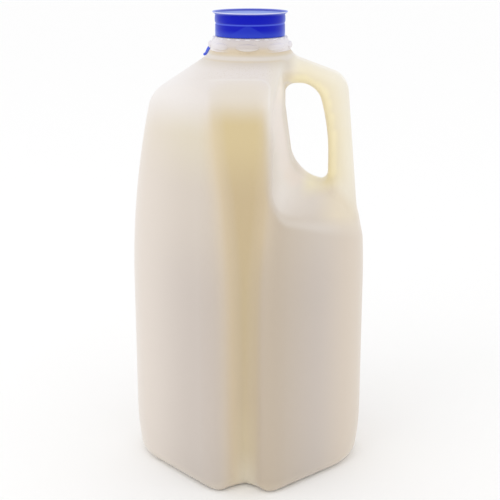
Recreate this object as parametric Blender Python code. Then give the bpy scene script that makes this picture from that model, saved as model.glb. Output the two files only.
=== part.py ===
"""A half-gallon bottle of lime juice: a blow-moulded bottle with a corner handle, its juice and its cap.

The frame stands on the floor under the neck's axis, with +Z up. The mould's parting plane is Y = 0, and it
runs through the handle, which is the corner at +X. The four walls stand at 45 degrees to that plane.
"""

import math

import bmesh
import bpy
import numpy as np

MM = 0.001
ROOT_HALF = math.sqrt(0.5)

# Body: a square with a large round at the handle's corner and the one opposite, and a flat at the other two
HALF_ACROSS_WALLS = 55.0 * MM
PLAIN_CORNER_AT = 65.6 * MM
HANDLE_CORNER_AT = 63.5 * MM
CORNER_FLAT_AT = 62.8 * MM
CORNER_FLAT_ROUND = 8.0 * MM
FOOT_ROUND = 6.0 * MM
TAPER_STARTS = 104.3 * MM
TAPER_RATE = 1.10
FOOT_TAPER_BELOW = 29.2 * MM
FOOT_TAPER_RATE = 1.8
BASE_HOLLOW_RADIUS = 38.9 * MM
BASE_HOLLOW_DEPTH = 3.9 * MM

# Shoulder: a cone round the neck
SHOULDER_SLOPE = math.radians(33.4)
SHOULDER_RADIUS = 27.3 * MM
SHOULDER_HEIGHT = 225.9 * MM
SHOULDER_ROUND = 4.4 * MM

# Groove down each corner flat, wider and shallower towards the top
GROOVE_DEPTH = 12.0 * MM
GROOVE_THINNING = 0.032
GROOVE_RIM_HALF = 11.5 * MM
GROOVE_WIDENS_FROM = 92.5 * MM
GROOVE_WIDENING = 0.055
GROOVE_SIDE_SLOPE = 0.8
GROOVE_STEEPENING = 2.4
GROOVE_SHIFTS_FROM = 127.2 * MM
GROOVE_SHIFT = 0.045
GROOVE_FLOOR_ROUND = 6.0 * MM
GROOVE_EDGE_ROUND = 6.0 * MM

# Pocket that clears the hand: an upright wall beside the groove, and a floor that rises to the finger hole
POCKET_WALL_AT = 19.0 * MM
POCKET_WALL_LEAN = 0.14
POCKET_LEANS_BELOW = 200.7 * MM
POCKET_WALL_CURVE = 2.16
POCKET_LEDGE_AT = 27.2 * MM
POCKET_LEDGE_HEIGHT = 149.7 * MM
POCKET_LEDGE_FALL = 0.43
POCKET_FLOOR_TOP = 161.2 * MM
POCKET_FLOOR_DEPTH = 22.4 * MM
POCKET_BOWL = 0.93
POCKET_CORNER_ROUND = 8.8 * MM
POCKET_DEEP_ROUND = 19.5 * MM
POCKET_EDGE_ROUND = 1.6 * MM
HOLE_TOP = 214.6 * MM

# Handle: an upright bar and an arch from the neck
HANDLE_OUTER_AT = 57.7 * MM
HANDLE_LEVEL = 160.7 * MM
HANDLE_LEAN = 0.09
HANDLE_INNER_AT = 42.8 * MM
HANDLE_BENDS_FROM = 175.3 * MM
HANDLE_BEND_RATE = 4.52
HANDLE_HALF_THICK = 10.7 * MM
HANDLE_ROUND = 6.4 * MM
ARCH_START_AT = 28.2 * MM
ARCH_START_HEIGHT = 227.3 * MM
ARCH_FALL = 0.364
ARCH_OUTER_ROUND = 6.8 * MM
ARCH_INNER_ROUND = 8.3 * MM
HANDLE_FILLET = 5.8 * MM
HANDLE_ROOT_AT = 11.0 * MM
HANDLE_ROOT_HEIGHT = 135.7 * MM

# Neck: a waist that flares into the shoulder, a collar with a rounded rim, and the finish that the cap grips
NECK_FOOT = 222.0 * MM
NECK_RADIUS = 21.2 * MM
NECK_TOP = 232.1 * MM
NECK_FLARE_ROUND = 4.9 * MM
COLLAR_FOOT = 230.8 * MM
COLLAR_RADIUS = 22.5 * MM
COLLAR_HEIGHT = 234.6 * MM
COLLAR_RIM_ROUND = 1.5 * MM
COLLAR_TOP = 238.9 * MM
COLLAR_TOP_RADIUS = 18.7 * MM
FINISH_RADIUS = 17.1 * MM
MOUTH_HEIGHT = 248.6 * MM
NECK_SEGMENTS = 48

WALL = 0.7 * MM
GAP = 0.5 * MM
JUICE_LEVEL = 204.5 * MM

# Cap: a shallow cup with a thin rim standing up round its top, and a tear band with a pull tab
CAP_RADIUS = 18.7 * MM
CAP_WALL = 1.1 * MM
CAP_FOOT = 239.4 * MM
CAP_TOP = 250.8 * MM
CAP_TOP_THICK = 1.6 * MM
CAP_RIM_RADIUS = 20.2 * MM
CAP_RIM_TOP = 251.9 * MM
CAP_RIM_THICK = 0.6 * MM
BAND_LINE_HEIGHT = 245.7 * MM
BAND_LINE_DEPTH = 0.35 * MM
CAP_SEGMENTS = 56
TAB_DIRECTION = math.radians(142.0)
TAB_WIDTH = 3.9 * MM
TAB_THICK = 0.9 * MM
TAB_TIP_RADIUS = 33.1 * MM
TAB_TIP_HEIGHT = 226.5 * MM
TAB_LIP = 0.9 * MM

# The surface is found on a grid of this step, then reduced to this many triangles
GRID_STEP = 1.5 * MM
BODY_TRIANGLES = 2700
SLIVER = 0.15 * MM


def round_max(first, second, radius):
    """Distance to the shape inside both, with a round of this radius along the edge where they meet."""
    over = np.hypot(np.maximum(first + radius, 0), np.maximum(second + radius, 0))
    return np.minimum(np.maximum(first, second), -radius) + over


def round_min(first, second, radius):
    """Distance to the shape inside either, with a fillet of this radius."""
    return -round_max(-first, -second, radius)


def taper(height):
    """How far a wall corner has drawn in at a height, measured along the diagonal."""
    return TAPER_RATE * np.maximum(height - TAPER_STARTS, 0) ** 2


def corner(along, across, half, reach):
    """Two walls at right angles, with the round that brings their corner in to its reach."""
    radius = (HALF_ACROSS_WALLS / ROOT_HALF - reach) / (math.sqrt(2) - 1)
    first = (along + across) * ROOT_HALF - half
    second = (along - across) * ROOT_HALF - half
    return round_max(first, second, radius)


def body_block(x, y, z):
    drawn_in = taper(z)
    foot = FOOT_TAPER_RATE * np.maximum(FOOT_TAPER_BELOW - z, 0) ** 2
    half = HALF_ACROSS_WALLS - drawn_in * ROOT_HALF
    handle_corner = corner(x, y, half, HANDLE_CORNER_AT - foot)
    plain_corner = corner(-x, y, half, PLAIN_CORNER_AT - foot)
    flats = np.abs(y) - (CORNER_FLAT_AT - drawn_in)
    walls = round_max(np.maximum(handle_corner, plain_corner), flats, CORNER_FLAT_ROUND)
    from_axis = np.hypot(x, y)
    hollow = np.maximum(1 - (from_axis / BASE_HOLLOW_RADIUS) ** 2, 0) ** 2
    base = BASE_HOLLOW_DEPTH * hollow - z
    rise = (z - SHOULDER_HEIGHT) * math.cos(SHOULDER_SLOPE)
    shoulder = (from_axis - SHOULDER_RADIUS) * math.sin(SHOULDER_SLOPE) + rise
    return round_max(round_max(walls, base, FOOT_ROUND), shoulder, SHOULDER_ROUND)


def groove(x, y, z):
    """Distance to the channel that is cut down each corner flat."""
    outward = np.abs(y) - (CORNER_FLAT_AT - taper(z))
    half = GROOVE_RIM_HALF + GROOVE_WIDENING * np.maximum(z - GROOVE_WIDENS_FROM, 0)
    middle = -GROOVE_SHIFT * np.maximum(z - GROOVE_SHIFTS_FROM, 0)
    slope = GROOVE_SIDE_SLOPE - GROOVE_STEEPENING * z
    sides = (np.abs(x - middle) - half - slope * outward) / np.hypot(1, slope)
    depth = GROOVE_DEPTH - GROOVE_THINNING * z
    return round_max(-outward - depth, sides, GROOVE_FLOOR_ROUND)


def pocket(x, y, z):
    """Distance to the space round the handle that is cut from both sides and meets at the parting plane."""
    half = HALF_ACROSS_WALLS - taper(z) * ROOT_HALF
    depth = np.maximum(-corner(x, y, half, HANDLE_CORNER_AT), 0)
    shallow = np.maximum(1 - depth / POCKET_FLOOR_DEPTH, 0)
    ledge = POCKET_LEDGE_HEIGHT - POCKET_LEDGE_FALL * (x - POCKET_LEDGE_AT)
    bowl = (1 - np.sqrt(1 - (POCKET_BOWL * shallow) ** 2)) / (1 - math.sqrt(1 - POCKET_BOWL**2))
    floor = POCKET_FLOOR_TOP - (POCKET_FLOOR_TOP - ledge) * bowl
    lean = POCKET_WALL_LEAN * np.maximum(POCKET_LEANS_BELOW - z, 0)
    wall = POCKET_WALL_AT + lean * (1 - shallow) - POCKET_WALL_CURVE * y**2
    radius = POCKET_DEEP_ROUND + (POCKET_CORNER_ROUND - POCKET_DEEP_ROUND) * shallow
    return round_max(wall - x, floor - z, radius)


def handle(x, y, z):
    outer = x - HANDLE_OUTER_AT + HANDLE_LEAN * (z - HANDLE_LEVEL)
    top = z - ARCH_START_HEIGHT + ARCH_FALL * (x - ARCH_START_AT)
    top = top * math.cos(math.atan(ARCH_FALL))
    outline = round_max(outer, top, ARCH_OUTER_ROUND)
    inner_at = HANDLE_INNER_AT - HANDLE_BEND_RATE * np.maximum(z - HANDLE_BENDS_FROM, 0) ** 2
    hole = round_max(x - inner_at, z - HOLE_TOP, ARCH_INNER_ROUND)
    section = np.maximum(outline, -hole)
    roots = np.maximum(HANDLE_ROOT_AT - x, HANDLE_ROOT_HEIGHT - z)
    bar = round_max(section, np.abs(y) - HANDLE_HALF_THICK, HANDLE_ROUND)
    return np.maximum(bar, roots)


def waist(x, y, z):
    """Distance to the upright cylinder between shoulder and collar."""
    ends = np.maximum(NECK_FOOT - z, z - NECK_TOP)
    return np.maximum(np.hypot(x, y) - NECK_RADIUS, ends)


def body(x, y, z):
    """Distance from a point to the outside of the bottle up to its waist, negative inside it."""
    block = round_max(body_block(x, y, z), -groove(x, y, z), GROOVE_EDGE_ROUND)
    block = round_max(block, -pocket(x, y, z), POCKET_EDGE_ROUND)
    block = round_min(block, waist(x, y, z), NECK_FLARE_ROUND)
    return round_min(block, handle(x, y, z), HANDLE_FILLET)


def grid_corners(values):
    """The eight corner values of every cell."""
    ends = (slice(None, -1), slice(1, None))
    return [values[i, j, k] for i in ends for j in ends for k in ends]


def crossing_points(values, mixed):
    """For each mixed cell, the mean of the points where its edges cross the surface, in cells."""
    total = np.zeros((int(mixed.sum()), 3))
    count = np.zeros(len(total))
    ends = (slice(None, -1), slice(1, None))
    for axis in range(3):
        for first in (0, 1):
            for second in (0, 1):
                sides = [first, second]
                sides.insert(axis, 0)
                start = values[tuple(ends[s] for s in sides)][mixed]
                sides[axis] = 1
                end = values[tuple(ends[s] for s in sides)][mixed]
                crosses = (start < 0) != (end < 0)
                share = np.where(crosses, start / np.where(crosses, start - end, 1), 0)
                point = np.array(sides, float) * np.ones((len(total), 1))
                point[:, axis] = share
                total += point * crosses[:, None]
                count += crosses
    return total / count[:, None]


def onto_surface(points, field):
    """Moves points along the field's slope until they lie on its zero surface."""
    for _ in range(4):
        value = field(*points.T)
        nudge = 0.05 * MM
        slope = [(field(*(points + nudge * np.eye(3)[a]).T) - value) / nudge for a in range(3)]
        slope = np.stack(slope, 1)
        length = np.maximum((slope**2).sum(1), 0.25)
        step = (value / length)[:, None] * slope
        points = points - np.clip(step, -GRID_STEP, GRID_STEP)
    return points


def surface_of(field, low, high, step):
    """Points and four-sided faces of the field's zero surface, one point in each cell that it crosses."""
    axes = [np.arange(low[a], high[a] + step, step) for a in range(3)]
    values = field(*np.meshgrid(*axes, indexing="ij"))
    inside = values < 0
    filled = sum(part.astype(int) for part in grid_corners(inside))
    mixed = (filled > 0) & (filled < 8)
    cells = np.argwhere(mixed)
    points = np.array(low) + step * (cells + crossing_points(values, mixed))
    number = np.full(mixed.shape, -1)
    number[mixed] = np.arange(len(cells))
    faces = []
    for axis in range(3):
        ahead = np.moveaxis(inside, axis, 0)
        cell = np.moveaxis(number, axis, 0)
        turned = ahead[:-1, 1:-1, 1:-1] != ahead[1:, 1:-1, 1:-1]
        out = ahead[:-1, 1:-1, 1:-1][turned]
        ring = [cell[:, :-1, :-1], cell[:, 1:, :-1], cell[:, 1:, 1:], cell[:, :-1, 1:]]
        quads = np.stack([part[turned] for part in ring], 1)
        flip = out if axis != 1 else ~out
        faces.append(np.where(flip[:, None], quads, quads[:, ::-1]))
    return onto_surface(points, field), np.concatenate(faces)


def clear_scene():
    for thing in list(bpy.data.objects):
        bpy.data.objects.remove(thing, do_unlink=True)


def plastic(name, colour, roughness):
    material = bpy.data.materials.new(name)
    material.use_nodes = True
    shader = material.node_tree.nodes["Principled BSDF"]
    shader.inputs["Base Color"].default_value = (*colour, 1)
    shader.inputs["Roughness"].default_value = roughness
    shader.inputs["Metallic"].default_value = 0
    return material


def add_object(name, mesh, material):
    thing = bpy.data.objects.new(name, mesh)
    bpy.context.scene.collection.objects.link(thing)
    mesh.materials.append(material)
    mesh.shade_smooth()
    mesh.set_sharp_from_angle(angle=math.radians(40))
    return thing


def reduced(mesh, triangles):
    """A copy of the mesh with about this many triangles."""
    holder = bpy.data.objects.new("reducing", mesh)
    bpy.context.scene.collection.objects.link(holder)
    modifier = holder.modifiers.new("Decimate", "DECIMATE")
    modifier.ratio = triangles / (2 * len(mesh.polygons))
    seen = holder.evaluated_get(bpy.context.evaluated_depsgraph_get())
    result = bpy.data.meshes.new_from_object(seen)
    bpy.data.objects.remove(holder, do_unlink=True)
    return result


def helper(name, form):
    """A mesh object that only shapes another one."""
    mesh = bpy.data.meshes.new(name)
    form.to_mesh(mesh)
    form.free()
    thing = bpy.data.objects.new(name, mesh)
    bpy.context.scene.collection.objects.link(thing)
    thing.hide_render = True
    thing.display_type = "WIRE"
    return thing


def turned(profile, segments):
    """A closed body of revolution from a section that starts and ends on the axis."""
    form = bmesh.new()
    rings = []
    for radius, height in profile:
        if radius == 0:
            rings.append([form.verts.new((0, 0, height))])
            continue
        turns = [2 * math.pi * step / segments for step in range(segments)]
        rings.append([form.verts.new((radius * math.cos(t), radius * math.sin(t), height)) for t in turns])
    for lower, upper in zip(rings, rings[1:]):
        for step in range(segments):
            ahead = (step + 1) % segments
            corners = [lower[step % len(lower)], lower[ahead % len(lower)]]
            corners += [upper[ahead % len(upper)], upper[step % len(upper)]]
            form.faces.new(list(dict.fromkeys(corners)))
    bmesh.ops.recalc_face_normals(form, faces=form.faces[:])
    return form


def neck_profile():
    """Radius and height of collar and finish, from inside the waist to a little above the mouth."""
    middle = COLLAR_RADIUS - COLLAR_RIM_ROUND
    rim = [math.radians(turn) for turn in (-50, -20, 10, 40)]
    above = MOUTH_HEIGHT + 4 * MM
    return [
        (0, COLLAR_FOOT),
        (NECK_RADIUS - 0.9 * MM, COLLAR_FOOT),
        *[
            (middle + COLLAR_RIM_ROUND * math.cos(t), COLLAR_HEIGHT + COLLAR_RIM_ROUND * math.sin(t))
            for t in rim
        ],
        (COLLAR_TOP_RADIUS, COLLAR_TOP),
        (FINISH_RADIUS, COLLAR_TOP),
        (FINISH_RADIUS, above),
        (0, above),
    ]


def make_body():
    """The outside of the bottle without its neck, as a closed mesh that is flat where it stands."""
    reach = 72 * MM
    low = (-reach, -reach, -3 * MM)
    high = (reach, reach, MOUTH_HEIGHT)
    points, faces = surface_of(body, low, high, GRID_STEP)
    mesh = bpy.data.meshes.new("body")
    mesh.from_pydata(points.tolist(), [], faces.tolist())
    mesh = reduced(mesh, BODY_TRIANGLES)
    for vertex in mesh.vertices:
        if vertex.co.z < 0.25 * MM:
            vertex.co.z = 0
    return mesh


def make_skin():
    """The outside of the bottle with its neck, open at the mouth."""
    neck = helper("neck_form", turned(neck_profile(), NECK_SEGMENTS))
    holder = bpy.data.objects.new("joining", make_body())
    bpy.context.scene.collection.objects.link(holder)
    join = holder.modifiers.new("Neck", "BOOLEAN")
    join.operation = "UNION"
    join.solver = "EXACT"
    join.object = neck
    seen = holder.evaluated_get(bpy.context.evaluated_depsgraph_get())
    mesh = bpy.data.meshes.new_from_object(seen)
    bpy.data.objects.remove(holder, do_unlink=True)
    bpy.data.objects.remove(neck, do_unlink=True)
    form = bmesh.new()
    form.from_mesh(mesh)
    everything = form.verts[:] + form.edges[:] + form.faces[:]
    mouth = (0, 0, MOUTH_HEIGHT)
    bmesh.ops.bisect_plane(form, geom=everything, plane_co=mouth, plane_no=(0, 0, 1), clear_outer=True)
    bmesh.ops.remove_doubles(form, verts=form.verts[:], dist=SLIVER)
    form.to_mesh(mesh)
    form.free()
    return mesh


def make_bottle(skin, material):
    thing = add_object("bottle", skin.copy(), material)
    solidify = thing.modifiers.new("Wall", "SOLIDIFY")
    solidify.thickness = WALL
    solidify.offset = -1
    return thing


def make_juice(skin, material):
    """The juice fills the bottle and the lower handle up to its level, a hair clear of the wall."""
    mesh = skin.copy()
    form = bmesh.new()
    form.from_mesh(mesh)
    form.normal_update()
    for vertex, normal in [(v, v.normal.copy()) for v in form.verts]:
        vertex.co -= normal * (WALL + GAP)
    everything = form.verts[:] + form.edges[:] + form.faces[:]
    level = (0, 0, JUICE_LEVEL)
    cut = bmesh.ops.bisect_plane(form, geom=everything, plane_co=level, plane_no=(0, 0, 1), clear_outer=True)
    rims = [part for part in cut["geom_cut"] if isinstance(part, bmesh.types.BMEdge)]
    bmesh.ops.holes_fill(form, edges=rims, sides=0)
    bmesh.ops.triangulate(form, faces=form.faces[:])
    form.to_mesh(mesh)
    form.free()
    return add_object("juice", mesh, material)


def cap_profile():
    """Radius and height round the cap's section, from the middle of its underside out and back on top."""
    inside = CAP_RADIUS - CAP_WALL
    ceiling = CAP_TOP - CAP_TOP_THICK
    line = BAND_LINE_DEPTH
    return [
        (0, ceiling),
        (inside - 1 * MM, ceiling),
        (inside, ceiling - 1 * MM),
        (inside, CAP_FOOT),
        (CAP_RADIUS - 0.3 * MM, CAP_FOOT),
        (CAP_RADIUS, CAP_FOOT + 0.4 * MM),
        (CAP_RADIUS, BAND_LINE_HEIGHT - line),
        (CAP_RADIUS - line, BAND_LINE_HEIGHT),
        (CAP_RADIUS, BAND_LINE_HEIGHT + line),
        (CAP_RADIUS, CAP_TOP - 0.9 * MM),
        (CAP_RIM_RADIUS, CAP_RIM_TOP - 0.3 * MM),
        (CAP_RIM_RADIUS - 0.2 * MM, CAP_RIM_TOP),
        (CAP_RIM_RADIUS - CAP_RIM_THICK, CAP_RIM_TOP - 0.1 * MM),
        (CAP_RADIUS - 0.2 * MM, CAP_TOP + 0.1 * MM),
        (CAP_RADIUS - 1.4 * MM, CAP_TOP),
        (0, CAP_TOP),
    ]


def tab_solid():
    """The pull tab: a strap from the tear band, out and down over the collar, with a lip across its tip."""
    start = (CAP_RADIUS - 0.5 * MM, CAP_FOOT + 1.1 * MM)
    run = (TAB_TIP_RADIUS - start[0], TAB_TIP_HEIGHT - start[1])
    length = math.hypot(*run)
    slope = math.atan2(run[1], run[0])
    half = TAB_THICK / 2
    lip_from = length - 1.2 * MM
    lip_top = half + TAB_LIP
    lip = [(length, lip_top), (lip_from, lip_top), (lip_from, half)]
    section = [(0, -half), (length, -half), *lip, (0, half)]
    form = bmesh.new()
    corners = []
    for along, up in section:
        radius = start[0] + along * math.cos(slope) - up * math.sin(slope)
        height = start[1] + along * math.sin(slope) + up * math.cos(slope)
        corners.append(form.verts.new((radius, -TAB_WIDTH / 2, height)))
    side = form.faces.new(corners)
    grown = bmesh.ops.extrude_face_region(form, geom=[side])
    moved = [part for part in grown["geom"] if isinstance(part, bmesh.types.BMVert)]
    bmesh.ops.translate(form, verts=moved, vec=(0, TAB_WIDTH, 0))
    bmesh.ops.recalc_face_normals(form, faces=form.faces[:])
    return form


def make_cap(material):
    form = turned(cap_profile(), CAP_SEGMENTS)
    mesh = bpy.data.meshes.new("cap")
    form.to_mesh(mesh)
    form.free()
    cap = add_object("cap", mesh, material)
    tab = helper("pull_tab_form", tab_solid())
    tab.rotation_euler.z = TAB_DIRECTION
    join = cap.modifiers.new("Pull tab", "BOOLEAN")
    join.operation = "UNION"
    join.solver = "EXACT"
    join.object = tab
    return cap


def main():
    clear_scene()
    skin = make_skin()
    make_bottle(skin, plastic("bottle_plastic", (0.80, 0.72, 0.58), 0.35))
    make_juice(skin, plastic("lime_juice", (0.66, 0.56, 0.33), 0.15))
    make_cap(plastic("cap_plastic", (0.015, 0.02, 0.52), 0.35))


main()
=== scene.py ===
# Half-gallon juice bottle: fine bottle skin, neck, juice, snap cap and studio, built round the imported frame
import math

import bmesh
import bpy
import numpy as np
from mathutils import Matrix, Vector


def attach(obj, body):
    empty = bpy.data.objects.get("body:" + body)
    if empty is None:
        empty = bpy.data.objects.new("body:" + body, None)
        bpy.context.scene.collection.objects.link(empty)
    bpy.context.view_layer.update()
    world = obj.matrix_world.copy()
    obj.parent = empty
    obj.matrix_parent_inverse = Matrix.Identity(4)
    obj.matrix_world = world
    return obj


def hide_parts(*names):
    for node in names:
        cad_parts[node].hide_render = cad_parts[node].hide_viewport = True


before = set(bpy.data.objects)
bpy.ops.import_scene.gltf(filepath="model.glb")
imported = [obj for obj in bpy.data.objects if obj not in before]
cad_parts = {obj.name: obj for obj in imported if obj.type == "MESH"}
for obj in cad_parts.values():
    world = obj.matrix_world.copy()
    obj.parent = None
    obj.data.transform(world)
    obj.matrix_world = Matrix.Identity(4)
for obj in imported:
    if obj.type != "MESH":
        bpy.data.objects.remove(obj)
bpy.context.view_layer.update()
mm = 0.001
diagonalShare = math.sqrt(0.5)
print("frame loaded:", ", ".join(sorted(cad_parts)))


# Rounded joins of distance fields: negative is inside a shape
def roundMax(first, second, radius):
    over = np.hypot(np.maximum(first + radius, 0), np.maximum(second + radius, 0))
    return np.minimum(np.maximum(first, second), -radius) + over


def roundMin(first, second, radius):
    return -roundMax(-first, -second, radius)


def shareOf(values, start, end):
    return np.clip((values - start) / (end - start), 0, 1)


# Body: four walls at 45 degrees to the parting plane, two round corners and two grooved flats
bodySizes = {
    "halfAcross": 55.0 * mm,
    "plainCornerAt": 65.6 * mm,
    "handleCornerAt": 63.5 * mm,
    "flatAt": 62.8 * mm,
    "flatRound": 8.0 * mm,
    "footRound": 6.0 * mm,
    "taperFrom": 104.3 * mm,
    "taperRate": 1.10,
    "footTaperBelow": 29.2 * mm,
    "footTaperRate": 3.4,
    "hollowRadius": 38.9 * mm,
    "hollowDepth": 3.9 * mm,
    "shoulderSlope": math.radians(33.4),
    "shoulderRadius": 27.3 * mm,
    "shoulderHeight": 225.9 * mm,
    "shoulderRound": 4.4 * mm,
}


def wallTaper(height):
    return bodySizes["taperRate"] * np.maximum(height - bodySizes["taperFrom"], 0) ** 2


def roundedCorner(along, across, half, reach):
    radius = (bodySizes["halfAcross"] / diagonalShare - reach) / (math.sqrt(2) - 1)
    return roundMax((along + across) * diagonalShare - half, (along - across) * diagonalShare - half, radius)


def blockField(x, y, z):
    size = bodySizes
    drawnIn = wallTaper(z)
    foot = size["footTaperRate"] * np.maximum(size["footTaperBelow"] - z, 0) ** 2
    half = size["halfAcross"] - drawnIn * diagonalShare
    handleCorner = roundedCorner(x, y, half, size["handleCornerAt"] - foot)
    plainCorner = roundedCorner(-x, y, half, size["plainCornerAt"] - foot)
    flats = np.abs(y) - (size["flatAt"] - drawnIn)
    walls = roundMax(np.maximum(handleCorner, plainCorner), flats, size["flatRound"])
    fromAxis = np.hypot(x, y)
    hollow = np.maximum(1 - (fromAxis / size["hollowRadius"]) ** 2, 0) ** 2
    base = size["hollowDepth"] * hollow - z
    rise = (z - size["shoulderHeight"]) * math.cos(size["shoulderSlope"])
    shoulder = (fromAxis - size["shoulderRadius"]) * math.sin(size["shoulderSlope"]) + rise
    return roundMax(roundMax(walls, base, size["footRound"]), shoulder, size["shoulderRound"])


# Groove down each flat, wider and shallower towards the top
grooveSizes = {
    "depth": 12.0 * mm,
    "thinning": 0.032,
    "rimHalf": {0: 11.4 * mm, 40: 11.4 * mm, 110: 10.4 * mm, 137: 11.7 * mm, 163: 14.1 * mm, 199: 16.7 * mm},
    "evenedOver": (-16 * mm, -8 * mm, 0, 8 * mm, 16 * mm),
    "sideSlope": 0.8,
    "steepening": 2.4,
    "middle": 0.7 * mm,
    "shiftsFrom": 160 * mm,
    "shift": 0.06,
    "floorRound": 6.0 * mm,
    "edgeRound": 7.0 * mm,
}


def grooveSides(x, z):
    # distance from the groove's rim across the flat, its side's slope and its depth at a height
    size = grooveSizes
    heights, halves = np.array(list(size["rimHalf"])) * mm, list(size["rimHalf"].values())
    spread = size["evenedOver"]
    half = sum(np.interp(z + step, heights, halves) for step in spread) / len(spread)
    middle = size["middle"] - size["shift"] * np.maximum(z - size["shiftsFrom"], 0)
    slope = size["sideSlope"] - size["steepening"] * z
    depth = size["depth"] - size["thinning"] * z
    return np.abs(x - middle) - half, slope, depth


def grooveField(x, y, z):
    size = grooveSizes
    outward = np.abs(y) - (bodySizes["flatAt"] - wallTaper(z))
    fromRim, slope, depth = grooveSides(x, z)
    sides = (fromRim - slope * outward) / np.hypot(1, slope)
    return roundMax(-outward - depth, sides, size["floorRound"])


# Pocket round the handle: an upright wall beside the groove, and a bowl that rises from a ledge to the hole
pocketSizes = {
    "wallAt": 19.0 * mm,
    "wallLean": 0.14,
    "leansBelow": 200.7 * mm,
    "leanFades": 0.85,
    "wallCurve": 1.9,
    "ledgeAt": 27.2 * mm,
    "ledgeHeight": 147.0 * mm,
    "ledgeFall": 0.4,
    "floorTop": 160.5 * mm,
    "floorDepth": 22.4 * mm,
    "bowl": 0.93,
    "cornerRound": 8.8 * mm,
    "deepRound": 15.5 * mm,
    "edgeRound": 1.6 * mm,
    "edgeGrows": 2.5 * mm,
    "edgeGrowsFrom": (38 * mm, 60 * mm),
}


def pocketField(x, y, z):
    size = pocketSizes
    half = bodySizes["halfAcross"] - wallTaper(z) * diagonalShare
    depth = np.maximum(-roundedCorner(x, y, half, bodySizes["handleCornerAt"]), 0)
    shallow = np.maximum(1 - depth / size["floorDepth"], 0)
    ledge = size["ledgeHeight"] - size["ledgeFall"] * (x - size["ledgeAt"])
    bowl = (1 - np.sqrt(1 - (size["bowl"] * shallow) ** 2)) / (1 - math.sqrt(1 - size["bowl"] ** 2))
    floor = size["floorTop"] - (size["floorTop"] - ledge) * bowl
    lean = size["wallLean"] * np.maximum(size["leansBelow"] - z, 0)
    wall = size["wallAt"] + lean * (1 - size["leanFades"] * shallow) - size["wallCurve"] * y**2
    radius = size["deepRound"] + (size["cornerRound"] - size["deepRound"]) * shallow
    return roundMax(wall - x, floor - z, radius)


# Handle: an upright bar and an arch from the neck
handleSizes = {
    "outerAt": 57.7 * mm,
    "level": 160.7 * mm,
    "lean": 0.09,
    "leansAbove": 142.0 * mm,
    "innerAt": 42.8 * mm,
    "bendsFrom": 175.3 * mm,
    "bendRate": 4.52,
    "holeTop": 214.6 * mm,
    "halfThick": 10.7 * mm,
    "round": 6.4 * mm,
    "archFromAt": 28.2 * mm,
    "archFromHeight": 226.8 * mm,
    "archFall": 0.364,
    "archOuterRound": 6.8 * mm,
    "archInnerRound": 8.3 * mm,
    "rootAt": 11.0 * mm,
    "rootHeight": 127.0 * mm,
}


def archTop(x):
    return handleSizes["archFromHeight"] - handleSizes["archFall"] * (x - handleSizes["archFromAt"])


def handleField(x, y, z):
    size = handleSizes
    outer = x - size["outerAt"] + size["lean"] * (np.maximum(z, size["leansAbove"]) - size["level"])
    top = (z - archTop(x)) * math.cos(math.atan(size["archFall"]))
    outline = roundMax(outer, top, size["archOuterRound"])
    innerAt = size["innerAt"] - size["bendRate"] * np.maximum(z - size["bendsFrom"], 0) ** 2
    hole = roundMax(x - innerAt, z - size["holeTop"], size["archInnerRound"])
    bar = roundMax(np.maximum(outline, -hole), np.abs(y) - size["halfThick"], size["round"])
    return np.maximum(bar, np.maximum(size["rootAt"] - x, size["rootHeight"] - z))


# Where the handle joins the body: the fillet widens on the arch and at the root, off the parting plane
joinSizes = {
    "fillet": 5.8 * mm,
    "archMore": 9.0 * mm,
    "archOver": 8.0 * mm,
    "rootMore": 6.0 * mm,
    "rootTop": (182 * mm, 174 * mm),
    "rootFoot": (150 * mm, 162 * mm),
    "rootIn": (44 * mm, 50 * mm),
    "sides": (3 * mm, 9 * mm),
    "thins": (128 * mm, 142 * mm),
    "thinnest": 0.4,
}


def joinFillet(x, y, z):
    size, holeTop, top = joinSizes, handleSizes["holeTop"], archTop(x)
    onArch = np.minimum(
        shareOf(z, holeTop, holeTop + size["archOver"]), shareOf(z, top, top - size["archOver"]))
    atRoot = np.minimum(shareOf(z, *size["rootTop"]), shareOf(z, *size["rootFoot"]))
    atRoot = np.minimum(atRoot, shareOf(x, *size["rootIn"]))
    wider = np.maximum(size["archMore"] * onArch, size["rootMore"] * atRoot)
    fillet = size["fillet"] + wider * shareOf(np.abs(y), *size["sides"])
    return fillet * np.maximum(shareOf(z, *size["thins"]), size["thinnest"])


# Neck: waist, collar with lugs and teeth, and the finish inside the cap
neckSizes = {
    "foot": 222.0 * mm,
    "waistRadius": 21.1 * mm,
    "waistTop": 232.1 * mm,
    "flareRound": 3.6 * mm,
    "footRadius": 21.7 * mm,
    "footSpread": 1.2,
    "footFlare": 120.0,
    "footTop": -1.0 * mm,
    "footRound": 0.6 * mm,
    "collarRadius": 21.35 * mm,
    "collarHeight": 235.4 * mm,
    "collarTopRadius": 19.1 * mm,
    "collarTop": 238.9 * mm,
    "finishRadius": 17.1 * mm,
    "mouthHeight": 248.6 * mm,
    "segments": 160,
}


def neckFootField(x, y, z):
    # the widest that the skin may be round the neck's foot: a flare below the skin's opening, its field halved
    # because it is steeper than a distance
    size = neckSizes
    below = np.maximum(skinSizes["openAt"] - z, size["footTop"])
    reach = size["footRadius"] + size["footSpread"] * below + size["footFlare"] * below**2
    return (np.hypot(x, y) - reach) / 2


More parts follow.
